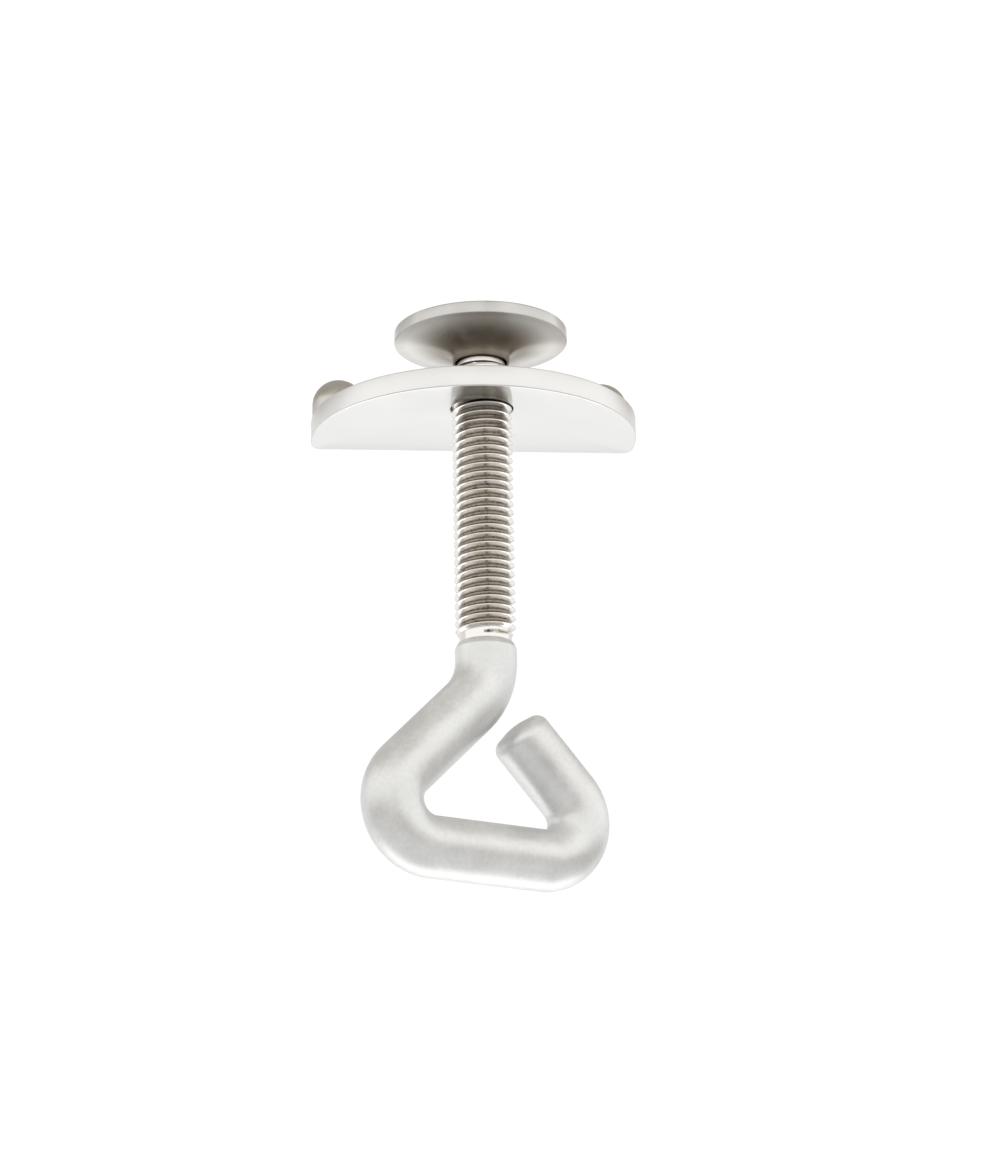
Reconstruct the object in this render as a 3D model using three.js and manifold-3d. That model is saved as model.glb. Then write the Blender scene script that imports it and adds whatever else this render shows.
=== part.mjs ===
// Stainless steel roof anchor: an M10 screw that ends in an open triangular hook, a half-moon plate that
// travels on its thread, and a trumpet-shaped clamp head that swivels on its upper end.
// Millimetres, +Z up. The origin is the centre of the head's flat top, so the anchor hangs below z = 0.
// X runs along the plate's straight edge and Y points to that edge.
import * as THREE from "three";
import { mergeVertices } from "three/addons/utils/BufferGeometryUtils.js";
import Module from "manifold-3d";

const wasm = await Module();
wasm.setup();

// Clearance between two pieces that fit together.
const GAP = 0.3;
const ROUND_SIDES = 40;

// Clamp head.
const HEAD_RADIUS = 14.2;
const HEAD_RIM = 2;
const HEAD_HEIGHT = 5.6;
const HEAD_EDGE = 0.25;
const HEAD_NECK_RADIUS = 4.7;
const HEAD_NECK_HEIGHT = 0.6;
const HEAD_FLOOR = 1.4;

// Spigot at the top of the screw, on which the head swivels, and the ring that keeps the head on it.
const SPIGOT_RADIUS = 4;
const SPIGOT_END = 6.5;
const SPIGOT_CHAMFER = 0.5;
const BORE_RADIUS = SPIGOT_RADIUS + GAP;
const RING_TOP = 2.3;
const RING_THICKNESS = 0.8;
const RING_INNER = 3.6;
const RING_OUTER = 4.9;
const RING_SPLIT = THREE.MathUtils.degToRad(34);

// M10 x 1.5 thread.
const PITCH = 1.5;
const THREAD_RADIUS = 4.93;
const THREAD_ROOT = 4.05;
const THREAD_END = 52.6;
const THREAD_SIDES = 20;

// Half-moon plate, and the two pegs on its upper face.
const PLATE_RADIUS = 27.2;
const PLATE_CENTRE_Y = 16;
const PLATE_BACK_Y = 20.3;
const PLATE_CORNER = 1.5;
const PLATE_TOP = 10;
const PLATE_THICKNESS = 3.6;
const PLATE_EDGE = 0.25;
const PLATE_HOLE_RADIUS = THREAD_RADIUS + GAP;
const PEG_RADIUS = 4.4;
const PEG_HEIGHT = 6.9;
const LEFT_PEG_X = -22.6;
const RIGHT_PEG_X = 21.6;
const PEG_Y = 15.8;
const PEG_SPIGOT_RADIUS = 2.2;
const PEG_SPIGOT_LENGTH = 1.5;
const PEG_SIDES = 28;

// Hook, bent from the same round bar as the screw, in an upright plane turned from the plate's edge.
const BAR_RADIUS = 5;
const BAR_SIDES = 20;
const NECK_RADIUS = 4.25;
const NECK_END = 53.7;
const SHOULDER_END = 54.7;
const HOOK_YAW = THREE.MathUtils.degToRad(23);
const HOOK_TOP = 61.3;
const HOOK_BASE = 88.1;
const HOOK_RIGHT = 25.15;
const HOOK_LEAN = THREE.MathUtils.degToRad(45.3);
const TIP_LEAN = THREE.MathUtils.degToRad(44);
const TIP_HEIGHT = 66.75;
const TIP_INSET = 1.8;
const TIP_ROUND = 2;
const TIP_CROWN = 0.5;
const TIP_STEPS = 5;
const TOP_BEND = 11.3;
const LEFT_BEND = 7.1;
const RIGHT_BEND = 6.6;
const BEND_STEP = THREE.MathUtils.degToRad(11);

const steel = {
  polished: new THREE.MeshStandardMaterial({ color: 0xd6d4cf, roughness: 0.28, metalness: 1 }),
  satin: new THREE.MeshStandardMaterial({ color: 0xdcdbd7, roughness: 0.4, metalness: 1 }),
  blasted: new THREE.MeshStandardMaterial({ color: 0xd9d8d5, roughness: 0.55, metalness: 1 }),
};

// A closed geometry as a manifold-3d solid.
function solid(geometry) {
  const bare = geometry.clone();
  for (const name of Object.keys(bare.attributes)) {
    if (name !== "position") bare.deleteAttribute(name);
  }
  const merged = mergeVertices(bare, 1e-4);
  return new wasm.Manifold(
    new wasm.Mesh({
      numProp: 3,
      vertProperties: new Float32Array(merged.attributes.position.array),
      triVerts: new Uint32Array(merged.index.array),
    }),
  );
}

// A manifold-3d solid as a geometry.
function geometryOf(body) {
  const { vertProperties, triVerts } = body.getMesh();
  const geometry = new THREE.BufferGeometry();
  geometry.setAttribute("position", new THREE.BufferAttribute(vertProperties, 3));
  geometry.setIndex(new THREE.BufferAttribute(triVerts, 1));
  geometry.computeVertexNormals();
  return geometry;
}

// A closed profile of [radius, z] points, given from the bottom up on its outside, turned about the Z axis.
function turned(profile, sides = ROUND_SIDES) {
  const points = profile.map(([radius, z]) => new THREE.Vector2(radius, z));
  return new THREE.LatheGeometry(points, sides).rotateX(Math.PI / 2);
}

function piece(name, geometry, material) {
  const mesh = new THREE.Mesh(geometry, material);
  mesh.name = name;
  return mesh;
}

function clampHead() {
  const ringBottom = RING_TOP + RING_THICKNESS + GAP;
  const flareTop = HEAD_HEIGHT - HEAD_NECK_HEIGHT;
  const flare = [];
  for (let i = 0; i <= 10; i++) {
    const t = (i / 10) * (Math.PI / 2);
    const radius = HEAD_RADIUS - HEAD_EDGE - (HEAD_RADIUS - HEAD_EDGE - HEAD_NECK_RADIUS) * Math.cos(t);
    flare.push([radius, -flareTop + (flareTop - HEAD_RIM) * Math.sin(t)]);
  }
  return turned([
    [0, -HEAD_FLOOR],
    [BORE_RADIUS, -HEAD_FLOOR],
    [BORE_RADIUS, GAP - RING_TOP],
    [RING_OUTER + GAP, GAP - RING_TOP],
    [RING_OUTER + GAP, -ringBottom],
    [BORE_RADIUS, -ringBottom],
    [BORE_RADIUS, HEAD_EDGE - HEAD_HEIGHT],
    [BORE_RADIUS + HEAD_EDGE, -HEAD_HEIGHT],
    [HEAD_NECK_RADIUS, -HEAD_HEIGHT],
    ...flare,
    [HEAD_RADIUS, HEAD_EDGE - HEAD_RIM],
    [HEAD_RADIUS, -HEAD_EDGE],
    [HEAD_RADIUS - HEAD_EDGE, 0],
    [0, 0],
  ]);
}

function retainingRing() {
  const outline = new THREE.Shape();
  outline.absarc(0, 0, RING_OUTER, RING_SPLIT / 2, 2 * Math.PI - RING_SPLIT / 2, false);
  outline.absarc(0, 0, RING_INNER, 2 * Math.PI - RING_SPLIT / 2, RING_SPLIT / 2, true);
  const ring = new THREE.ExtrudeGeometry(outline, {
    depth: RING_THICKNESS,
    bevelEnabled: false,
    curveSegments: 24,
  });
  return ring.translate(0, 0, -RING_TOP - RING_THICKNESS);
}

// The half-moon outline, with its two back corners rounded, inset by the amount that the bevel adds back.
function plateOutline() {
  const radius = PLATE_RADIUS - PLATE_EDGE;
  const back = PLATE_BACK_Y - PLATE_EDGE;
  const cornerY = back - PLATE_CORNER;
  const cornerX = Math.sqrt((radius - PLATE_CORNER) ** 2 - (cornerY - PLATE_CENTRE_Y) ** 2);
  const tangent = Math.atan2(cornerY - PLATE_CENTRE_Y, cornerX);
  const outline = new THREE.Shape();
  outline.absarc(0, PLATE_CENTRE_Y, radius, Math.PI - tangent, 2 * Math.PI + tangent, false);
  outline.absarc(cornerX, cornerY, PLATE_CORNER, tangent, Math.PI / 2, false);
  outline.absarc(-cornerX, cornerY, PLATE_CORNER, Math.PI / 2, Math.PI - tangent, false);
  const hole = new THREE.Path();
  hole.absarc(0, 0, PLATE_HOLE_RADIUS + PLATE_EDGE, 0, 2 * Math.PI, true);
  outline.holes.push(hole);
  return outline;
}

function halfMoonPlate() {
  const slab = new THREE.ExtrudeGeometry(plateOutline(), {
    depth: PLATE_THICKNESS - 2 * PLATE_EDGE,
    bevelThickness: PLATE_EDGE,
    bevelSize: PLATE_EDGE,
    bevelSegments: 1,
    curveSegments: 32,
  });
  slab.translate(0, 0, PLATE_EDGE - PLATE_TOP - PLATE_THICKNESS);
  let body = solid(slab);
  const socketDepth = PEG_SPIGOT_LENGTH + GAP;
  for (const x of [LEFT_PEG_X, RIGHT_PEG_X]) {
    const socket = new THREE.CylinderGeometry(
      PEG_SPIGOT_RADIUS + GAP,
      PEG_SPIGOT_RADIUS + GAP,
      2 * socketDepth,
      PEG_SIDES,
    );
    socket.rotateX(Math.PI / 2).translate(x, PEG_Y, -PLATE_TOP);
    body = body.subtract(solid(socket));
  }
  return geometryOf(body);
}

// A bullet-nosed peg on a spigot that sits in the plate; its own z = 0 is the plate's upper face.
function peg() {
  const dome = [];
  for (let i = 0; i <= 8; i++) {
    const t = (i / 8) * (Math.PI / 2);
    dome.push([i < 8 ? PEG_RADIUS * Math.cos(t) : 0, PEG_HEIGHT - PEG_RADIUS + PEG_RADIUS * Math.sin(t)]);
  }
  const spigot = [
    [0, -PEG_SPIGOT_LENGTH],
    [PEG_SPIGOT_RADIUS, -PEG_SPIGOT_LENGTH],
    [PEG_SPIGOT_RADIUS, GAP],
    [PEG_RADIUS, GAP],
  ];
  return turned([...spigot, ...dome], PEG_SIDES);
}

// The thread as one helical ridge: each turn's rows run on into the next turn's, and a cone closes each end.
function helix(turns) {
  const profile = [[0, THREAD_RADIUS], [0.125, THREAD_RADIUS], [0.4375, THREAD_ROOT], [0.6875, THREAD_ROOT]];
  const rows = profile.length;
  const last = turns * THREAD_SIDES;
  const vertices = [0, 0, -PITCH];
  const triangles = [];
  const index = (step, row) => (row === rows ? index(step + THREAD_SIDES, 0) : 1 + step * rows + row);
  for (let step = 0; step <= last + THREAD_SIDES; step++) {
    const turn = step / THREAD_SIDES;
    for (const [share, radius] of profile) {
      const angle = 2 * Math.PI * turn;
      vertices.push(radius * Math.cos(angle), radius * Math.sin(angle), PITCH * (turn + share));
    }
  }
  const bottom = 0;
  const top = vertices.length / 3;
  vertices.push(0, 0, PITCH * (turns + 2));
  for (let step = 0; step < last; step++) {
    for (let row = 0; row < rows; row++) {
      const corners = [index(step, row), index(step + 1, row), index(step + 1, row + 1), index(step, row + 1)];
      triangles.push(corners[0], corners[1], corners[2], corners[0], corners[2], corners[3]);
    }
  }
  for (let step = 0; step < THREAD_SIDES; step++) {
    triangles.push(bottom, index(step + 1, 0), index(step, 0));
    triangles.push(top, index(last + step, 0), index(last + step + 1, 0));
  }
  for (let row = 0; row < rows; row++) {
    triangles.push(bottom, index(0, row), index(0, row + 1));
    triangles.push(top, index(last, row + 1), index(last, row));
  }
  return { vertices, triangles };
}

// The thread trimmed to its length, with a chamfer at each end.
function thread() {
  const turns = Math.ceil((THREAD_END - SPIGOT_END) / PITCH) + 2;
  const { vertices, triangles } = helix(turns);
  const geometry = new THREE.BufferGeometry();
  geometry.setAttribute("position", new THREE.Float32BufferAttribute(vertices, 3));
  geometry.setIndex(triangles);
  geometry.translate(0, 0, -THREAD_END - PITCH);
  const envelope = turned([
    [0, -THREAD_END],
    [SPIGOT_RADIUS - GAP, -THREAD_END],
    [THREAD_RADIUS + GAP, 1.5 - THREAD_END],
    [THREAD_RADIUS + GAP, -SPIGOT_END - 1.5],
    [SPIGOT_RADIUS - GAP, -SPIGOT_END],
    [0, -SPIGOT_END],
  ]);
  return solid(geometry).intersect(solid(envelope));
}

// Stations along the bar's centreline in its own XZ plane: place, heading and radius, from the spigot to the tip.
function stations() {
  const list = [];
  const at = new THREE.Vector2(0, 0);
  let heading = -Math.PI / 2;
  const mark = (radius) => list.push({ x: at.x, z: at.y, heading, radius });
  const forward = (length) => {
    at.x += length * Math.cos(heading);
    at.y += length * Math.sin(heading);
  };
  const bend = (radius, angle) => {
    const steps = Math.ceil(Math.abs(angle) / BEND_STEP);
    for (let i = 0; i < steps; i++) {
      heading += angle / steps / 2;
      forward(2 * radius * Math.sin(Math.abs(angle) / steps / 2));
      heading += angle / steps / 2;
      mark(BAR_RADIUS);
    }
  };

  // Spigot with the ring's groove, thread core, relief neck and shoulder, straight down the axis.
  const turnedDown = [
    [HEAD_FLOOR + GAP, SPIGOT_RADIUS - SPIGOT_CHAMFER],
    [HEAD_FLOOR + GAP + SPIGOT_CHAMFER, SPIGOT_RADIUS],
    [RING_TOP - GAP, SPIGOT_RADIUS],
    [RING_TOP - GAP, RING_INNER - GAP],
    [RING_TOP + RING_THICKNESS + GAP, RING_INNER - GAP],
    [RING_TOP + RING_THICKNESS + GAP, SPIGOT_RADIUS],
    [THREAD_END - NECK_RADIUS + SPIGOT_RADIUS, SPIGOT_RADIUS],
    [THREAD_END, NECK_RADIUS],
    [NECK_END, NECK_RADIUS],
    [SHOULDER_END, BAR_RADIUS],
  ];
  for (const [depth, radius] of turnedDown) {
    at.set(0, -depth);
    mark(radius);
  }

  // Down and left, round the left corner, along the base, round the right corner and up to the tip.
  const leftTurn = Math.PI - HOOK_LEAN;
  const rightTurn = Math.PI / 2 + TIP_LEAN;
  const topSet = TOP_BEND * Math.tan(HOOK_LEAN / 2);
  const leftSet = LEFT_BEND * Math.tan(leftTurn / 2);
  const rightSet = RIGHT_BEND * Math.tan(rightTurn / 2);
  const drop = HOOK_BASE - HOOK_TOP;
  at.set(0, topSet - HOOK_TOP);
  mark(BAR_RADIUS);
  bend(TOP_BEND, -HOOK_LEAN);
  forward(drop / Math.cos(HOOK_LEAN) - topSet - leftSet);
  mark(BAR_RADIUS);
  bend(LEFT_BEND, leftTurn);
  forward(drop * Math.tan(HOOK_LEAN) + HOOK_RIGHT - leftSet - rightSet);
  mark(BAR_RADIUS);
  bend(RIGHT_BEND, rightTurn);
  forward((HOOK_BASE - TIP_HEIGHT) / Math.cos(TIP_LEAN) - rightSet - TIP_ROUND - TIP_CROWN);

  // The tip's edge is rounded, and its end is slightly crowned.
  const tipStart = at.clone();
  for (let i = 0; i <= TIP_STEPS; i++) {
    const t = (i / TIP_STEPS) * (Math.PI / 2);
    at.copy(tipStart);
    forward(TIP_ROUND * Math.sin(t));
    mark(BAR_RADIUS - TIP_INSET * (1 - Math.cos(t)));
  }
  for (const share of [0.5, 0.1]) {
    at.copy(tipStart);
    forward(TIP_ROUND + TIP_CROWN * (1 - share ** 2));
    mark((BAR_RADIUS - TIP_INSET) * share);
  }
  return list;
}

// A round bar through the stations, closed by a flat face at each end.
function sweptBar(list) {
  const vertices = [];
  const triangles = [];
  const index = (station, side) => station * BAR_SIDES + (side % BAR_SIDES);
  for (const { x, z, heading, radius } of list) {
    for (let side = 0; side < BAR_SIDES; side++) {
      const angle = (2 * Math.PI * side) / BAR_SIDES;
      const across = radius * Math.cos(angle);
      vertices.push(x - across * Math.sin(heading), radius * Math.sin(angle), z + across * Math.cos(heading));
    }
  }
  const end = list.length - 1;
  const first = vertices.length / 3;
  vertices.push(list[0].x, 0, list[0].z, list[end].x, 0, list[end].z);
  for (let side = 0; side < BAR_SIDES; side++) {
    for (let i = 0; i < end; i++) {
      triangles.push(index(i, side), index(i + 1, side), index(i + 1, side + 1));
      triangles.push(index(i, side), index(i + 1, side + 1), index(i, side + 1));
    }
    triangles.push(first, index(0, side), index(0, side + 1));
    triangles.push(first + 1, index(end, side + 1), index(end, side));
  }
  const geometry = new THREE.BufferGeometry();
  geometry.setAttribute("position", new THREE.Float32BufferAttribute(vertices, 3));
  geometry.setIndex(triangles);
  return geometry;
}

function hookRod() {
  return geometryOf(solid(sweptBar(stations())).add(thread()));
}

const anchor = new THREE.Group();
anchor.add(piece("clamp_head", clampHead(), steel.polished));
anchor.add(piece("retaining_ring", retainingRing(), steel.polished));

const plate = new THREE.Group();
plate.add(piece("half_moon_plate", halfMoonPlate(), steel.satin));
for (const [name, x] of [["left_peg", LEFT_PEG_X], ["right_peg", RIGHT_PEG_X]]) {
  const pegMesh = piece(name, peg(), steel.satin);
  pegMesh.position.set(x, PEG_Y, -PLATE_TOP);
  plate.add(pegMesh);
}
anchor.add(plate);

const hook = piece("hook_rod", hookRod(), steel.blasted);
hook.rotation.z = HOOK_YAW;
anchor.add(hook);

export default anchor;
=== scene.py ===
"""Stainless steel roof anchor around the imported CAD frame: clamp head, half-moon plate with pegs, hook rod.

Everything is in the CAD frame: the origin is the centre of the head's flat top, +Z is up, X runs along the
plate's straight edge and +Y points to it. Shapes are worked out in millimetres and stored in metres. A depth
is measured down from the head's flat top.
"""
import math

import bmesh
import bpy
from mathutils import Matrix, Vector


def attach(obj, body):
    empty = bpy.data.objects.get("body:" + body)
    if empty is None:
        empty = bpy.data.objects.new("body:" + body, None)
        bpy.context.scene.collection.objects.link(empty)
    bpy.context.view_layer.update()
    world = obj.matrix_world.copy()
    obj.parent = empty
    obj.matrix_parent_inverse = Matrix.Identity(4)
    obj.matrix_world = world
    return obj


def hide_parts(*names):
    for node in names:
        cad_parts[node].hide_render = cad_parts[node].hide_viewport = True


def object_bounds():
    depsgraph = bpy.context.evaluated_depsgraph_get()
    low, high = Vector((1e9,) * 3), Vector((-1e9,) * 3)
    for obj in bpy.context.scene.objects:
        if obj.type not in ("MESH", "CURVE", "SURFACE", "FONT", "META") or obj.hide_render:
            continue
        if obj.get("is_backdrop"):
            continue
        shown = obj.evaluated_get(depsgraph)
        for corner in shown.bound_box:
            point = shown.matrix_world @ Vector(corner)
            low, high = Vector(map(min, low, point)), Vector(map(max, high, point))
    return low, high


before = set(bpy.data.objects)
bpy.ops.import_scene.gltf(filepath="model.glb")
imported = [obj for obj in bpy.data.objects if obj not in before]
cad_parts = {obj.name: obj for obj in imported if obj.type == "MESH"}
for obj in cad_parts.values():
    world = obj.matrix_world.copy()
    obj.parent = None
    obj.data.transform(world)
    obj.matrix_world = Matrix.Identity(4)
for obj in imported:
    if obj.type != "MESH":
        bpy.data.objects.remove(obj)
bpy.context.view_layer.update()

MM = 0.001
SHARP_ANGLE = math.radians(38)
MERGE_DISTANCE = 1e-4
POINT_RADIUS = 1e-6

# Clamp head.
HEAD_RADIUS = 14.2
HEAD_RIM = 2.0
HEAD_HEIGHT = 5.6
HEAD_NECK_RADIUS = 4.7
HEAD_NECK_HEIGHT = 0.6
HEAD_FLOOR = 1.4
HEAD_SIDES = 192
HEAD_EDGE = 0.3
HEAD_LIP = 0.18
LIP_EDGE = 0.14
MOUTH_EDGE = 0.2
FLARE_STEPS = 40
BORE_RADIUS = 4.3
BORE_EDGE = 0.12
BORE_CORNER = 0.2
GROOVE_RADIUS = 5.2
GROOVE_TOP = 2.0
GROOVE_BOTTOM = 3.4

# Half-moon plate and its pegs.
PLATE_RADIUS = 27.2
PLATE_CENTRE_Y = 16.0
PLATE_BACK_Y = 20.3
PLATE_CORNER = 1.75
ROUND_STEPS = 180
CORNER_STEPS = 12
BACK_STEPS = 80
PLATE_TOP = 10.0
PLATE_THICKNESS = 3.6
PLATE_EDGE = 0.22
PLATE_HOLE_RADIUS = 5.12
HOLE_SIDES = 96
PEG_RADIUS = 4.4
PEG_HEIGHT = 6.9
PEG_FOOT = 0.03
PEG_LEAD_IN = 0.15
PEG_SIDES = 96
NOSE_STEPS = 32
PEG_Y = 15.8
PEG_PLACES = {"left": -22.6, "right": 21.6}

# Screw and hook, bent from one bar.
SPIGOT_RADIUS = 4.0
SPIGOT_TOP = 1.7
SPIGOT_EDGE = 0.4
SPIGOT_END = 6.5
RING_SEAT_RADIUS = 3.3
RING_SEAT_TOP = 2.2
RING_SEAT_BOTTOM = 3.4
PITCH = 1.5
THREAD_RADIUS = 4.93
THREAD_ROOT = 4.05
THREAD_START = 6.4
THREAD_END = 52.6
START_SLOPE = 0.9
END_SLOPE = 0.75
RUN_IN_END = SPIGOT_END + 1
RUN_OUT = THREAD_END - 1.4
RUN_OUT_END = THREAD_END - 0.5
FLANK_SLOPE = math.sqrt(3)
CREST_START = 0.0625
CREST_HALF = 0.04
CREST_ROUND = 0.03
ROOT_ROUND = 0.05
NECK_RADIUS = 4.25
NECK_END = 53.7
NECK_CORNER = 0.15
SHOULDER_RISE = 0.12
SHOULDER_LIP = 0.45
SHOULDER_EDGE = 0.1
SHOULDER_ROUND = 0.35
SHOULDER_END = 54.7
COLLAR_END = SHOULDER_END + 1.3
BAR_RADIUS = 5.0
BAR_SIDES = 96
HOOK_YAW = math.radians(23)
HOOK_TOP = 61.3
HOOK_BASE = 88.1
HOOK_RIGHT = 25.15
HOOK_LEAN = math.radians(45.3)
TIP_LEAN = math.radians(44)
TIP_HEIGHT = 66.75
TIP_INSET = 1.8
TIP_ROUND = 2.0
TIP_CROWN = 0.5
TIP_STEPS = 12
CROWN_STEPS = 6
TOP_BEND = 11.3
LEFT_BEND = 7.1
RIGHT_BEND = 6.6
BEND_STEP = math.radians(2)

# Where a turn of the thread has its rows of points, as shares of the pitch from the middle of the crest.
HALF_TURN = [0.035, 0.065, 0.095, 0.13, 0.2, 0.28, 0.35, 0.39, 0.42, 0.455]
SHARES = [0, *HALF_TURN, 0.5, *(1 - share for share in reversed(HALF_TURN))]


def linked(name, mesh):
    """A new object in the scene that shows the mesh."""
    piece = bpy.data.objects.new(name, mesh)
    bpy.context.scene.collection.objects.link(piece)
    return piece


def mesh_piece(name, vertices, faces, flat=()):
    """A smooth-shaded piece from points in millimetres; faces listed in flat stay flat."""
    mesh = bpy.data.meshes.new(name)
    mesh.from_pydata([Vector(v) * MM for v in vertices], [], faces)
    flat = set(flat)
    mesh.polygons.foreach_set("use_smooth", [i not in flat for i in range(len(faces))])
    shape = bmesh.new()
    shape.from_mesh(mesh)
    bmesh.ops.remove_doubles(shape, verts=shape.verts, dist=MERGE_DISTANCE * MM)
    shape.to_mesh(mesh)
    shape.free()
    mesh.set_sharp_from_angle(angle=SHARP_ANGLE)
    return linked(name, mesh)


def filleted(corners, steps=5):
    """An open line through (u, v, radius) corners, with an arc at each corner whose radius isn't 0."""
    line = []
    for i, (u, v, radius) in enumerate(corners):
        here = Vector((u, v))
        if radius == 0:
            line.append((u, v))
            continue
        back = (Vector(corners[i - 1][:2]) - here).normalized()
        on = (Vector(corners[i + 1][:2]) - here).normalized()
        half = back.angle(on) / 2
        centre = here + (back + on).normalized() * (radius / math.sin(half))
        start = here + back * (radius / math.tan(half)) - centre
        end = here + on * (radius / math.tan(half)) - centre
        sweep = math.atan2(start.x * end.y - start.y * end.x, start.dot(end))
        for k in range(steps + 1):
            turn = sweep * k / steps
            line.append((
                centre.x + start.x * math.cos(turn) - start.y * math.sin(turn),
                centre.y + start.x * math.sin(turn) + start.y * math.cos(turn),
            ))
    return line


def skin(rings):
    """Faces between neighbouring rings of vertex numbers; a ring of one vertex is a point."""
    faces = []
    for low, high in zip(rings, rings[1:]):
        sides = max(len(low), len(high))
        for i in range(sides):
            j = (i + 1) % sides
            corners = low[i % len(low)], low[j % len(low)], high[j % len(high)], high[i % len(high)]
            faces.append(list(dict.fromkeys(corners)))
    return faces


def turned(name, profile, sides, centre=(0, 0, 0)):
    """A piece turned about the Z axis from a closed profile of (radius, z), bottom to top on its outside."""
    vertices, rings = [], []
    for radius, z in profile:
        count = sides if radius > POINT_RADIUS else 1
        rings.append(list(range(len(vertices), len(vertices) + count)))
        for i in range(count):
            angle = 2 * math.pi * i / sides
            vertices.append((
                centre[0] + radius * math.cos(angle),
                centre[1] + radius * math.sin(angle),
                centre[2] + z,
            ))
    return mesh_piece(name, vertices, skin(rings))


# ---------------------------------------------------------------- shapes


def make_head():
    """The clamp head: a bored neck, a trumpet that is a quarter of an ellipse, and a rim with a thin lip."""
    flare_top = HEAD_HEIGHT - HEAD_NECK_HEIGHT
    lip_radius = HEAD_RADIUS - HEAD_LIP
    flare = []
    for i in range(1, FLARE_STEPS + 1):
        t = i / FLARE_STEPS * math.pi / 2
        radius = lip_radius - (lip_radius - HEAD_NECK_RADIUS) * math.cos(t)
        flare.append((radius, -flare_top + (flare_top - HEAD_RIM) * math.sin(t)))
    start = filleted([
        (0, -HEAD_FLOOR, 0),
        (BORE_RADIUS, -HEAD_FLOOR, BORE_CORNER),
        (BORE_RADIUS, -GROOVE_TOP, 0),
        (GROOVE_RADIUS, -GROOVE_TOP, 0),
        (GROOVE_RADIUS, -GROOVE_BOTTOM, 0),
        (BORE_RADIUS, -GROOVE_BOTTOM, 0),
        (BORE_RADIUS, -HEAD_HEIGHT, BORE_EDGE),
        (HEAD_NECK_RADIUS, -HEAD_HEIGHT, MOUTH_EDGE),
        (HEAD_NECK_RADIUS, -flare_top, 0),
    ])
    end = filleted([
        (lip_radius, -HEAD_RIM, 0),
        (HEAD_RADIUS, -HEAD_RIM, LIP_EDGE),
        (HEAD_RADIUS, 0, HEAD_EDGE),
        (0, 0, 0),
    ])
    return turned("clamp_head_turned", start + flare + end[1:], HEAD_SIDES)


def plate_loop(inset):
    """The half-moon outline as points, anticlockwise from the left corner, drawn in by inset."""
    radius = PLATE_RADIUS - inset
    corner = PLATE_CORNER - inset
    corner_y = PLATE_BACK_Y - PLATE_CORNER
    corner_x = math.sqrt((PLATE_RADIUS - PLATE_CORNER) ** 2 - (corner_y - PLATE_CENTRE_Y) ** 2)
    tangent = math.atan2(corner_y - PLATE_CENTRE_Y, corner_x)
    arcs = [
        (0, PLATE_CENTRE_Y, radius, math.pi - tangent, 2 * math.pi + tangent, ROUND_STEPS),
        (corner_x, corner_y, corner, tangent, math.pi / 2, CORNER_STEPS),
        (-corner_x, corner_y, corner, math.pi / 2, math.pi - tangent, CORNER_STEPS),
    ]
    points = []
    for x, y, r, first, last, steps in arcs:
        for i in range(steps):
            angle = first + (last - first) * i / steps
            points.append((x + r * math.cos(angle), y + r * math.sin(angle)))
        if x > 0:
            # After the right corner comes the straight edge.
            points += [(x - 2 * x * i / BACK_STEPS, y + r) for i in range(BACK_STEPS)]
    return points


def circle(radius, sides):
    """Points round a circle about the Z axis."""
    angles = [2 * math.pi * i / sides for i in range(sides)]
    return [(radius * math.cos(a), radius * math.sin(a)) for a in angles]


def make_plate():
    """The plate as a wall round its outline, a wall round its hole, and two flat faces between them."""
    bottom, top = -PLATE_TOP - PLATE_THICKNESS, -PLATE_TOP
    # Insets and heights up the plate's side, without the two ends that only lead in to the rounds.
    corners = [(1, bottom, 0), (0, bottom, PLATE_EDGE), (0, top, PLATE_EDGE), (1, top, 0)]
    edge = filleted(corners, steps=4)[1:-1]
    vertices, outer, hole = [], [], []
    for inset, z in edge:
        loop = plate_loop(inset)
        outer.append(list(range(len(vertices), len(vertices) + len(loop))))
        vertices += [(x, y, z) for x, y in loop]
    for inset, z in edge:
        loop = circle(PLATE_HOLE_RADIUS + inset, HOLE_SIDES)
        hole.append(list(range(len(vertices), len(vertices) + len(loop))))
        vertices += [(x, y, z) for x, y in loop]
    faces = skin(outer) + [list(reversed(f)) for f in skin(hole)]
    flat = []
    for ring, inner, up in ((outer[0], hole[0], False), (outer[-1], hole[-1], True)):
        for triangle in between(vertices, ring, inner):
            flat.append(len(faces))
            faces.append(triangle if up else triangle[::-1])
    return mesh_piece("half_moon_plate_milled", vertices, faces, flat)


def between(vertices, ring, inner):
    """Triangles that fill the flat area between two anticlockwise loops, walking round both by angle."""
    def bearing(number):
        return math.atan2(vertices[number][1], vertices[number][0])

    def ordered(loop):
        first = min(range(len(loop)), key=lambda i: bearing(loop[i]))
        return loop[first:] + loop[:first]

    ring, inner = ordered(ring), ordered(inner)
    a, b, triangles = 0, 0, []
    while a < len(ring) or b < len(inner):
        out_now, in_now = ring[a % len(ring)], inner[b % len(inner)]
        out_next, in_next = ring[(a + 1) % len(ring)], inner[(b + 1) % len(inner)]
        out_turn = bearing(out_next) + (2 * math.pi if a + 1 >= len(ring) else 0)
        in_turn = bearing(in_next) + (2 * math.pi if b + 1 >= len(inner) else 0)
        if b >= len(inner) or (a < len(ring) and out_turn < in_turn):
            triangles.append([out_now, out_next, in_now])
            a += 1
        else:
            triangles.append([out_now, in_next, in_now])
            b += 1
    return triangles


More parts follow.
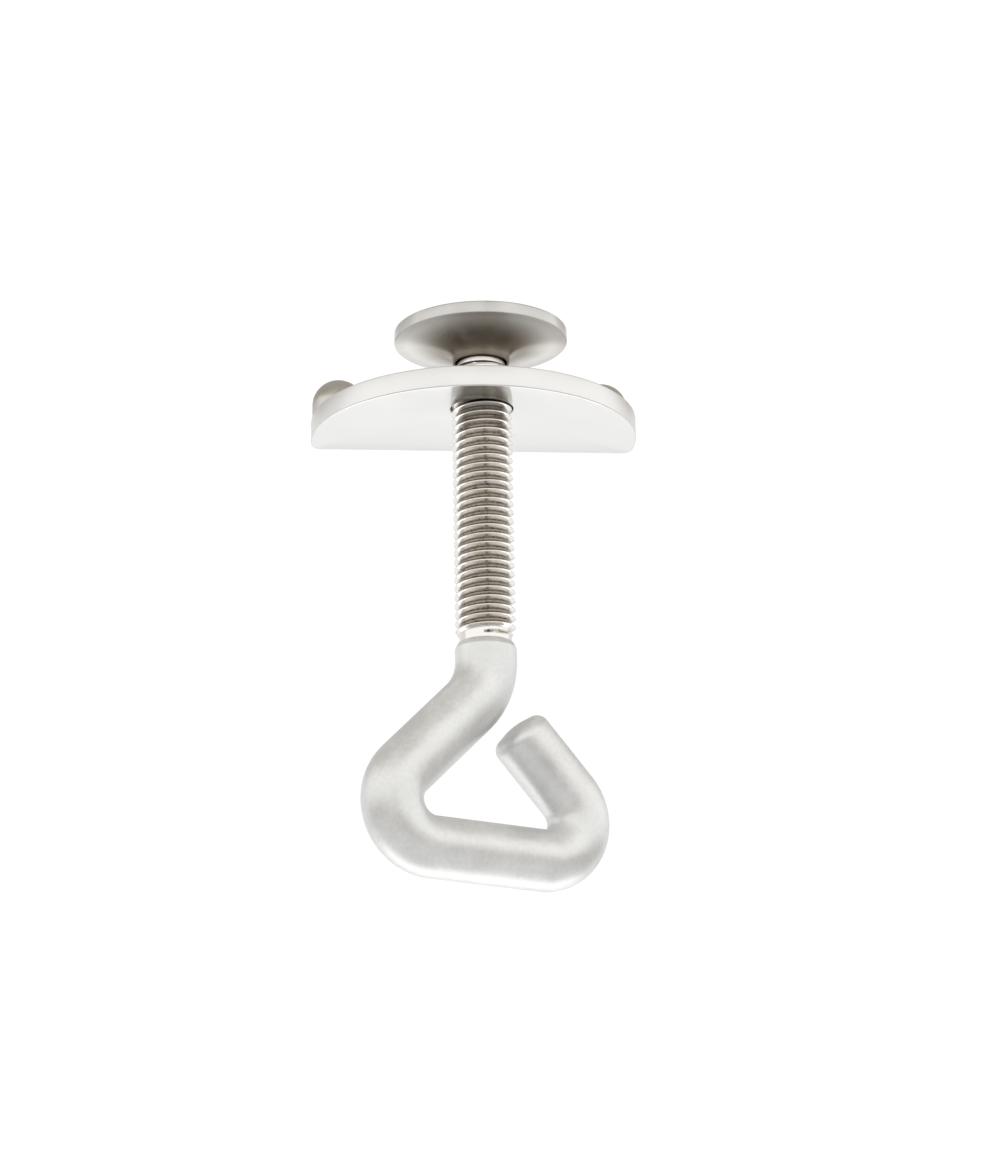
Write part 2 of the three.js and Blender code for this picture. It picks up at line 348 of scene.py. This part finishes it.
def make_peg(side, x):
    """A round-nosed peg that stands a hair above the plate, with a small lead-in at its foot."""
    nose = PEG_HEIGHT - PEG_RADIUS
    profile = filleted([(0, PEG_FOOT, 0), (PEG_RADIUS, PEG_FOOT, PEG_LEAD_IN), (PEG_RADIUS, nose, 0)])
    for i in range(1, NOSE_STEPS + 1):
        t = i / NOSE_STEPS * math.pi / 2
        profile.append((PEG_RADIUS * math.cos(t), nose + PEG_RADIUS * math.sin(t)))
    return turned(side + "_peg_turned", profile, PEG_SIDES, (x, PEG_Y, -PLATE_TOP))


def thread_radius(share, depth):
    """Radius of the thread at a depth and at a share of its pitch, where 0 is the middle of the crest."""
    away = abs((share + 0.5) % 1 - 0.5)
    ridge = THREAD_RADIUS - PITCH * FLANK_SLOPE * (away - CREST_HALF)
    upper = soft_less(ridge, THREAD_RADIUS, CREST_ROUND)
    body = -soft_less(-upper, -THREAD_ROOT, ROOT_ROUND)
    start = SPIGOT_RADIUS + max(0.0, depth - SPIGOT_END) * START_SLOPE
    finish = NECK_RADIUS + max(0.0, THREAD_END - depth) * END_SLOPE
    floor = THREAD_ROOT + (NECK_RADIUS - THREAD_ROOT) * smooth(depth, RUN_OUT, RUN_OUT_END)
    floor -= (THREAD_ROOT - SPIGOT_RADIUS) * (1 - smooth(depth, SPIGOT_END, RUN_IN_END))
    return max(min(body, start, finish), floor)


def soft_less(a, b, width):
    """The lesser of two values, rounded where they cross."""
    h = max(0.0, width * 2 - abs(a - b)) / (width * 2)
    return min(a, b) - h * h * width / 2


def smooth(value, low, high):
    """0 up to low, 1 from high on, and a smooth rise between."""
    t = min(1.0, max(0.0, (value - low) / (high - low)))
    return t * t * (3 - 2 * t)


def add_thread(vertices, faces, low_depth, high_depth):
    """A right-hand helical skin from low_depth up to high_depth. What runs past either end is drawn back onto
    the end's own circle, where merging close points joins it to the bar."""
    rows = len(SHARES)
    base = len(vertices)
    # On the rod's own +X side a crest lies CREST_START of a pitch above low_depth.
    bottom = -low_depth - (2 - CREST_START) * PITCH
    turns = math.ceil((-high_depth - bottom) / PITCH)
    last = turns * BAR_SIDES
    for step in range(last + BAR_SIDES + 1):
        turn = step / BAR_SIDES
        angle = 2 * math.pi * turn
        for share in SHARES:
            z = min(-high_depth, max(-low_depth, bottom + PITCH * (turn + share)))
            radius = thread_radius(share, -z)
            vertices.append((radius * math.cos(angle), radius * math.sin(angle), z))

    def number(step, row):
        return number(step + BAR_SIDES, 0) if row == rows else base + step * rows + row

    for step in range(last):
        for row in range(rows):
            low, high = number(step, row), number(step, row + 1)
            faces.append([low, number(step + 1, row), number(step + 1, row + 1), high])


def stations():
    """The bar below the thread: centre, heading and radius of each section, in the hook's upright plane."""
    made = []
    at = Vector((0, 0))
    heading = -math.pi / 2

    def forward(length):
        at.x += length * math.cos(heading)
        at.y += length * math.sin(heading)

    def mark(radius=BAR_RADIUS):
        made.append((at.x, at.y, heading, radius))

    def straight(length, steps=6):
        for _ in range(steps):
            forward(length / steps)
            mark()

    def bend(radius, angle):
        nonlocal heading
        steps = math.ceil(abs(angle) / BEND_STEP)
        for _ in range(steps):
            heading += angle / steps / 2
            forward(2 * radius * math.sin(abs(angle) / steps / 2))
            heading += angle / steps / 2
            mark()

    neck = filleted([
        (THREAD_END, NECK_RADIUS, 0),
        (NECK_END, NECK_RADIUS, NECK_CORNER),
        (NECK_END + SHOULDER_RISE, BAR_RADIUS - SHOULDER_LIP, SHOULDER_EDGE),
        (SHOULDER_END, BAR_RADIUS, SHOULDER_ROUND),
        (COLLAR_END, BAR_RADIUS, 0),
    ], steps=4)
    for depth, radius in neck:
        at.y = -depth
        mark(radius)

    left_turn = math.pi - HOOK_LEAN
    right_turn = math.pi / 2 + TIP_LEAN
    top_set = TOP_BEND * math.tan(HOOK_LEAN / 2)
    left_set = LEFT_BEND * math.tan(left_turn / 2)
    right_set = RIGHT_BEND * math.tan(right_turn / 2)
    drop = HOOK_BASE - HOOK_TOP
    at.y = top_set - HOOK_TOP
    mark()
    bend(TOP_BEND, -HOOK_LEAN)
    straight(drop / math.cos(HOOK_LEAN) - top_set - left_set)
    bend(LEFT_BEND, left_turn)
    straight(drop * math.tan(HOOK_LEAN) + HOOK_RIGHT - left_set - right_set)
    bend(RIGHT_BEND, right_turn)
    straight((HOOK_BASE - TIP_HEIGHT) / math.cos(TIP_LEAN) - right_set - TIP_ROUND - TIP_CROWN)
    start = at.copy()
    for i in range(1, TIP_STEPS + 1):
        t = i / TIP_STEPS * math.pi / 2
        at.x, at.y = start
        forward(TIP_ROUND * math.sin(t))
        mark(BAR_RADIUS - TIP_INSET * (1 - math.cos(t)))
    for i in range(1, CROWN_STEPS + 1):
        share = i / CROWN_STEPS
        at.x, at.y = start
        forward(TIP_ROUND + TIP_CROWN * share * (2 - share))
        mark((BAR_RADIUS - TIP_INSET) * (1 - share))
    return made


def make_hook():
    """The rod as one skin: spigot, thread, neck and bent bar, turned to the hook's bearing."""
    vertices, faces = [], []

    def ring(x, z, heading, radius):
        numbers = []
        for i in range(BAR_SIDES if radius > POINT_RADIUS else 1):
            angle = 2 * math.pi * i / BAR_SIDES
            across = radius * math.cos(angle)
            numbers.append(len(vertices))
            vertices.append((
                x - across * math.sin(heading),
                radius * math.sin(angle),
                z + across * math.cos(heading),
            ))
        return numbers

    spigot = filleted([
        (SPIGOT_TOP, 0, 0),
        (SPIGOT_TOP, SPIGOT_RADIUS, SPIGOT_EDGE),
        (RING_SEAT_TOP, SPIGOT_RADIUS, 0),
        (RING_SEAT_TOP, RING_SEAT_RADIUS, 0),
        (RING_SEAT_BOTTOM, RING_SEAT_RADIUS, 0),
        (RING_SEAT_BOTTOM, SPIGOT_RADIUS, 0),
        (THREAD_START, SPIGOT_RADIUS, 0),
    ], steps=4)
    upper = [ring(0, -depth, -math.pi / 2, radius) for depth, radius in spigot]
    lower = [ring(*station) for station in stations()]
    faces += [f[::-1] for f in skin(upper)] + [f[::-1] for f in skin(lower)]
    add_thread(vertices, faces, THREAD_END, THREAD_START)
    turn = Matrix.Rotation(HOOK_YAW, 3, "Z")
    return mesh_piece("hook_rod_bent", [turn @ Vector(v) for v in vertices], faces)


# ---------------------------------------------------------------- materials


def add(tree, kind, inputs=None, **settings):
    """A shader node with its settings, and its inputs as values or as the sockets they come from."""
    made = tree.nodes.new("ShaderNode" + kind)
    for key, value in settings.items():
        setattr(made, key, value)
    for key, value in (inputs or {}).items():
        if isinstance(value, bpy.types.NodeSocket):
            tree.links.new(value, made.inputs[key])
        else:
            made.inputs[key].default_value = value
    return made


def metal(name, anisotropic=0.0, rotation=0.0, metallic=1.0):
    """A new metal, its node tree and its shader, which still has no colour or roughness of its own."""
    material = bpy.data.materials.new(name)
    material.use_nodes = True
    shader = material.node_tree.nodes["Principled BSDF"]
    shader.inputs["Metallic"].default_value = metallic
    shader.inputs["Anisotropic"].default_value = anisotropic
    shader.inputs["Anisotropic Rotation"].default_value = rotation
    return material, material.node_tree, shader


def stretched_noise(tree, scale, detail=3.0, stretch=(1, 1, 1), vector=None):
    """Noise of so many features per metre, with its coordinates scaled by stretch first."""
    if vector is None:
        vector = add(tree, "TexCoord").outputs["Object"]
    mapped = add(tree, "Mapping", {"Vector": vector, "Scale": stretch}).outputs[0]
    return add(tree, "TexNoise", {"Vector": mapped, "Scale": scale, "Detail": detail}).outputs["Fac"]


def turned_coordinates(tree):
    """Coordinates that are the same all the way round the Z axis: distance from it, and height."""
    where = add(tree, "SeparateXYZ", {"Vector": add(tree, "TexCoord").outputs["Object"]})
    flat = add(tree, "CombineXYZ", {"X": where.outputs["X"], "Y": where.outputs["Y"]})
    distance = add(tree, "VectorMath", {0: flat.outputs[0]}, operation="LENGTH")
    return add(tree, "CombineXYZ", {"X": distance.outputs["Value"], "Z": where.outputs["Z"]}).outputs[0]


def ranged(tree, value, low, high, spread=(0.3, 0.7)):
    """The part of a noise's values between the two ends of spread, moved to the range from low to high."""
    inputs = {"Value": value, "From Min": spread[0], "From Max": spread[1], "To Min": low, "To Max": high}
    return add(tree, "MapRange", inputs).outputs[0]


def bumped(tree, shader, layers):
    """Bump layers as (height socket, strength, depth in metres), one on another."""
    normal = None
    for height, strength, depth in layers:
        inputs = {"Height": height, "Strength": strength, "Distance": depth}
        if normal is not None:
            inputs["Normal"] = normal
        normal = add(tree, "Bump", inputs).outputs["Normal"]
    tree.links.new(normal, shader.inputs["Normal"])


def blended(tree, value, low, high):
    """A colour between two others, each a colour or the socket that it comes from."""
    mix = add(tree, "Mix", {"Factor": value}, data_type="RGBA")
    for socket, color in ((mix.inputs[6], low), (mix.inputs[7], high)):
        if isinstance(color, bpy.types.NodeSocket):
            tree.links.new(color, socket)
        else:
            socket.default_value = (*color, 1)
    return mix.outputs[2]


def tinted(tree, shader, value, low, high):
    """Gives the shader a base colour that goes from low to high with value."""
    tree.links.new(blended(tree, value, low, high), shader.inputs["Base Color"])


def roughened(tree, shader, value, low, high):
    """Gives the shader a roughness that goes from low to high with a noise's value."""
    tree.links.new(ranged(tree, value, low, high), shader.inputs["Roughness"])


def brushed(tree, shader, tangent):
    """Gives the shader's anisotropy its direction from a tangent node."""
    tree.links.new(tangent.outputs[0], shader.inputs["Tangent"])


def computed(tree, operation, a, b):
    """Simple arithmetic on two values or sockets."""
    return add(tree, "Math", {0: a, 1: b}, operation=operation).outputs[0]


def stepped(tree, axis, first, last):
    """A smooth step along an axis of the turned coordinates: 0 at first and 1 at last, in millimetres."""
    place = add(tree, "SeparateXYZ", {"Vector": turned_coordinates(tree)}).outputs[axis]
    inputs = {"Value": place, "From Min": first * MM, "From Max": last * MM}
    return add(tree, "MapRange", inputs, interpolation_type="SMOOTHSTEP").outputs[0]


def by_radius(tree, first, last):
    """0 at the first distance from the Z axis, 1 at the last."""
    return stepped(tree, "X", first, last)


def by_depth(tree, first, last):
    """0 at the first depth, 1 at the last."""
    return stepped(tree, "Z", -first, -last)


def polished_steel():
    """The head and its ring: fine turned rings, polished over, with painted shade and a painted highlight
    below the rim: browner from the rim in to the neck, where the shade is painted, and brightest near the rim,
    where the highlight is painted.
    """
    material, tree, shader = metal("polished_steel", 0.85, 0.25)
    # Painted shade and a painted highlight: the first colour is painted shade at the neck, the second a
    # painted highlight near the rim; the third is the steel's own colour.
    shade_brown, bright, plain_steel = (0.235, 0.20, 0.16), (0.78, 0.76, 0.73), (0.55, 0.54, 0.52)
    rings = stretched_noise(tree, 9000, 2, vector=turned_coordinates(tree))
    grain = stretched_noise(tree, 5200, 2)
    cloud = stretched_noise(tree, 260, 3)
    # The trumpet's colour blends by radius from the painted shade at the neck to the painted highlight near
    # the rim.
    trumpet = blended(tree, by_radius(tree, 6, 13), shade_brown, bright)
    tinted(tree, shader, by_depth(tree, HEAD_RIM + 0.1, HEAD_RIM - 0.1), trumpet, plain_steel)
    roughened(tree, shader, cloud, 0.27, 0.34)
    brushed(tree, shader, add(tree, "Tangent", direction_type="RADIAL", axis="Z"))
    bumped(tree, shader, [(rings, 0.5, 2.5e-6), (grain, 0.35, 4e-6)])
    return material


def satin_steel():
    """The plate's underside: fine brushing along the straight edge."""
    material, tree, shader = metal("satin_steel", 0.95)
    lines = stretched_noise(tree, 7000, 2, stretch=(0.012, 1, 1))
    cloud = stretched_noise(tree, 120, 3)
    tinted(tree, shader, cloud, (0.625, 0.622, 0.61), (0.66, 0.656, 0.645))
    roughened(tree, shader, cloud, 0.15, 0.19)
    brushed(tree, shader, add(tree, "CombineXYZ", {"Y": 1.0}))
    bumped(tree, shader, [(lines, 0.35, 1.5e-6)])
    return material


def milled_steel():
    """The plate's cut edges: a dull, slightly streaked finish."""
    material, tree, shader = metal("milled_steel")
    streaks = stretched_noise(tree, 4200, 2, stretch=(1, 1, 0.25))
    cloud = stretched_noise(tree, 180, 3)
    tinted(tree, shader, cloud, (0.63, 0.62, 0.605), (0.68, 0.67, 0.655))
    roughened(tree, shader, cloud, 0.30, 0.38)
    bumped(tree, shader, [(streaks, 0.4, 5e-6)])
    return material


def peg_steel():
    """The pegs: turned, with fine level rings, and darker than the plate."""
    material, tree, shader = metal("peg_steel", 0.3)
    rings = stretched_noise(tree, 6000, 2, stretch=(0.05, 0.05, 1))
    cloud = stretched_noise(tree, 300, 3)
    tinted(tree, shader, cloud, (0.45, 0.43, 0.40), (0.51, 0.49, 0.46))
    roughened(tree, shader, cloud, 0.28, 0.36)
    bumped(tree, shader, [(rings, 0.4, 3e-6)])
    return material


def rolled_steel():
    """The spigot, thread and neck: bright rolled steel, with painted shade in the thread roots, brownish and
    broken by darker specks from the same noise that bumps the surface.
    """
    material, tree, shader = metal("rolled_steel")
    # Painted shade: the first two colours are painted shade for the thread roots; the last is the steel's own
    # colour.
    dark, shade_brown, bright = (0.10, 0.085, 0.07), (0.24, 0.205, 0.165), (0.66, 0.64, 0.61)
    tears = stretched_noise(tree, 5200, 3, stretch=(0.3, 0.3, 1))
    pits = stretched_noise(tree, 2600, 4)
    # Painted shade is left out of the roots near the head and where the thread runs out.
    near_head, near_neck = by_depth(tree, 13, 8), by_depth(tree, RUN_OUT, THREAD_END - 0.8)
    ends = computed(tree, "MAXIMUM", near_head, near_neck)
    crest = by_radius(tree, THREAD_ROOT + 0.03, THREAD_ROOT + 0.42)
    unshaded = computed(tree, "MAXIMUM", crest, ends)
    root = computed(tree, "SUBTRACT", 1.0, unshaded)
    shade_specks = computed(tree, "MULTIPLY", ranged(tree, tears, 0, 1, (0.56, 0.66)), root)
    # Painted shade: the thread roots take the brownish shade colour, and the darker specks in them are painted
    # shade too.
    tinted(tree, shader, shade_specks, blended(tree, unshaded, shade_brown, bright), dark)
    roughened(tree, shader, pits, 0.09, 0.17)
    bumped(tree, shader, [(tears, 0.5, 5e-6), (pits, 0.35, 8e-6)])
    return material


def blasted_steel():
    """The hook and the plate's top: bead-blasted, with a fine even grain and faint mottling."""
    material, tree, shader = metal("blasted_steel", metallic=0.66)
    grain = stretched_noise(tree, 5600, 2)
    dimples = stretched_noise(tree, 1500, 3)
    cloud = stretched_noise(tree, 170, 4)
    clouded = computed(tree, "MULTIPLY", cloud, 0.6)
    dimpled = computed(tree, "MULTIPLY", dimples, 0.4)
    mottled = computed(tree, "ADD", clouded, dimpled)
    contrast = ranged(tree, mottled, 0, 1, (0.38, 0.62))
    tinted(tree, shader, contrast, (0.62, 0.62, 0.61), (0.71, 0.71, 0.702))
    roughened(tree, shader, mottled, 0.34, 0.46)
    bumped(tree, shader, [(grain, 0.5, 1.4e-5), (dimples, 0.35, 1.2e-5)])
    return material


# ---------------------------------------------------------------- pieces


def dressed(piece, body, nodes, materials):
    """The piece with its materials, riding on its body and standing for its CAD nodes."""
    for material in materials:
        piece.data.materials.append(material)
    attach(piece, body)
    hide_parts(*nodes)
    return piece


polished, satin, milled = polished_steel(), satin_steel(), milled_steel()
pegged, rolled, blasted = peg_steel(), rolled_steel(), blasted_steel()

dressed(make_head(), "head", ["clamp_head"], [polished])
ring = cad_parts["retaining_ring"]
ring.data.materials.clear()
ring.data.materials.append(polished)

UNDERSIDE, EDGE, TOP = range(3)
LEVEL = 0.5
plate = dressed(make_plate(), "plate", ["half_moon_plate"], [satin, milled, blasted])
for face in plate.data.polygons:
    upward = face.normal.z
    face.material_index = UNDERSIDE if upward < -LEVEL else TOP if upward > LEVEL else EDGE
for side, x in PEG_PLACES.items():
    dressed(make_peg(side, x), "plate", [side + "_peg"], [pegged])

BENT, TURNED = range(2)
TURNED_END = -(NECK_END - 0.1) * MM
hook = dressed(make_hook(), "hook", ["hook_rod"], [blasted, rolled])
for face in hook.data.polygons:
    face.material_index = TURNED if face.center.z > TURNED_END else BENT


# ---------------------------------------------------------------- stage, light and camera


def camera_axes(azimuth, elevation, roll):
    """Right, up and forward of a camera that looks at the object from below."""
    level = Vector((math.sin(azimuth), math.cos(azimuth), 0))
    ahead = level * math.cos(elevation) + Vector((0, 0, math.sin(elevation)))
    right = Vector((math.cos(azimuth), -math.sin(azimuth), 0))
    up = right.cross(ahead)
    return (
        right * math.cos(roll) + up * math.sin(roll),
        up * math.cos(roll) - right * math.sin(roll),
        ahead,
    )


VIEW_AZIMUTH = math.radians(5.5)
VIEW_ELEVATION = math.radians(18)
VIEW_ROLL = math.radians(-1.05)
VIEW_DISTANCE = 650
VIEW_LENS = 126.16
SENSOR_WIDTH = 36
AIM_DEPTH = 45
AIM_RIGHT = 2.435
AIM_UP = 2.806

right, up, ahead = camera_axes(VIEW_AZIMUTH, VIEW_ELEVATION, VIEW_ROLL)
aim = Vector((0, 0, -AIM_DEPTH)) + right * AIM_RIGHT + up * AIM_UP
camera = bpy.data.objects.new("camera", bpy.data.cameras.new("camera"))
camera.data.lens = VIEW_LENS
camera.data.sensor_width = SENSOR_WIDTH
camera.data.clip_start = 0.01
camera.data.clip_end = 100
camera.matrix_world = Matrix.Translation((aim - ahead * VIEW_DISTANCE) * MM) @ Matrix(
    (right, up, -ahead)
).transposed().to_4x4()
bpy.context.scene.collection.objects.link(camera)
bpy.context.scene.camera = camera
bpy.context.scene.view_settings.view_transform = "Standard"

WORLD_LIGHT = 1.05
# The middle of the stage is this far from -Y towards +X.
STAGE_TURN = math.radians(5.5)

world = bpy.data.worlds.new("world")
world.use_nodes = True
world.node_tree.nodes["Background"].inputs["Color"].default_value = (1, 1, 1, 1)
world.node_tree.nodes["Background"].inputs["Strength"].default_value = WORLD_LIGHT
bpy.context.scene.world = world


def level_corners(low, high, z):
    """The corners of a level rectangle, from its low corner to its high one."""
    return [(low[0], low[1], z), (high[0], low[1], z), (high[0], high[1], z), (low[0], high[1], z)]


def make_floor(half, z, color, roughness):
    """A plain square floor, far under the object."""
    floor = mesh_piece("floor", level_corners((-half, -half), (half, half), z), [[0, 1, 2, 3]])
    material = bpy.data.materials.new("floor")
    material.use_nodes = True
    shader = material.node_tree.nodes["Principled BSDF"]
    shader.inputs["Base Color"].default_value = (*color, 1)
    shader.inputs["Roughness"].default_value = roughness
    floor.data.materials.append(material)
    floor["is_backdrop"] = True


def unseen(name, vertices, faces, color):
    """An even panel that only reflections show."""
    panel = mesh_piece(name, vertices, faces)
    material = bpy.data.materials.new(name)
    material.use_nodes = True
    tree = material.node_tree
    tree.nodes.remove(tree.nodes["Principled BSDF"])
    glow = add(tree, "Emission", {"Color": (*color, 1), "Strength": 1.0})
    tree.links.new(glow.outputs[0], tree.nodes["Material Output"].inputs["Surface"])
    panel.data.materials.append(material)
    panel.visible_camera = False
    panel.visible_shadow = False
    panel.visible_diffuse = False
    panel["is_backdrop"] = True


def make_flag(name, radius, low, high, bearings, color, steps):
    """A curved upright panel round the object, between two bearings in degrees from the stage's middle."""
    first, last = bearings
    vertices, faces = [], []
    for i in range(steps + 1):
        bearing = STAGE_TURN + math.radians(first + (last - first) * i / steps)
        x, y = radius * math.sin(bearing), -radius * math.cos(bearing)
        vertices += [(x, y, low), (x, y, high)]
        if i:
            faces.append([2 * i - 2, 2 * i, 2 * i + 1, 2 * i - 1])
    unseen(name, vertices, faces, color)


def make_panel(name, low, high, z, color):
    """A level panel over or under the object, from its low corner to its high corner."""
    unseen(name, level_corners(low, high, z), [[0, 1, 2, 3]], color)


FLOOR_HALF = 30000
FLOOR_Z = -700
FLAG_RADIUS = 500
STRIPE_RADIUS = 490
STRIPE_OVERLAP = 5
WIDE, DARK_STRIPE, PALE_STRIPE, FRONT = (-105, 105), (-5, 9), (25, 47), (-110, 110)

# Two bands stand round the front, one low and one high, each with a dark and a pale stripe before it. Here are
# their lowest and highest z, then the colours of the band, the dark stripe and the pale one.
BANDS = {
    "flag_low": (-270, -70, (0.48, 0.445, 0.395), (0.06, 0.052, 0.045), (0.85, 0.80, 0.73)),
    "flag_high": (330, 900, (0.85, 0.80, 0.73), (0.25, 0.225, 0.19), (1.25, 1.20, 1.12)),
}

make_floor(FLOOR_HALF, FLOOR_Z, color=(0.80, 0.80, 0.795), roughness=0.8)
for name, (low, high, band_color, dark_color, pale_color) in BANDS.items():
    stripe_low, stripe_high = low - STRIPE_OVERLAP, high + STRIPE_OVERLAP
    make_flag(name, FLAG_RADIUS, low, high, WIDE, band_color, steps=24)
    make_flag(name + "_dark", STRIPE_RADIUS, stripe_low, stripe_high, DARK_STRIPE, dark_color, steps=4)
    make_flag(name + "_pale", STRIPE_RADIUS, stripe_low, stripe_high, PALE_STRIPE, pale_color, steps=6)
make_panel("flag_above", (-600, -150), (600, 700), z=300, color=(0.62, 0.58, 0.53))
make_flag("light_front", FLAG_RADIUS, -40, 300, FRONT, (1.45, 1.45, 1.44), steps=24)
make_panel("light_below", (-700, 160), (700, 700), z=-600, color=(2.2, 2.2, 2.2))
make_panel("light_far", (-2500, 700), (2500, 4000), z=-600, color=(1.25, 1.25, 1.25))

low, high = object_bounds()
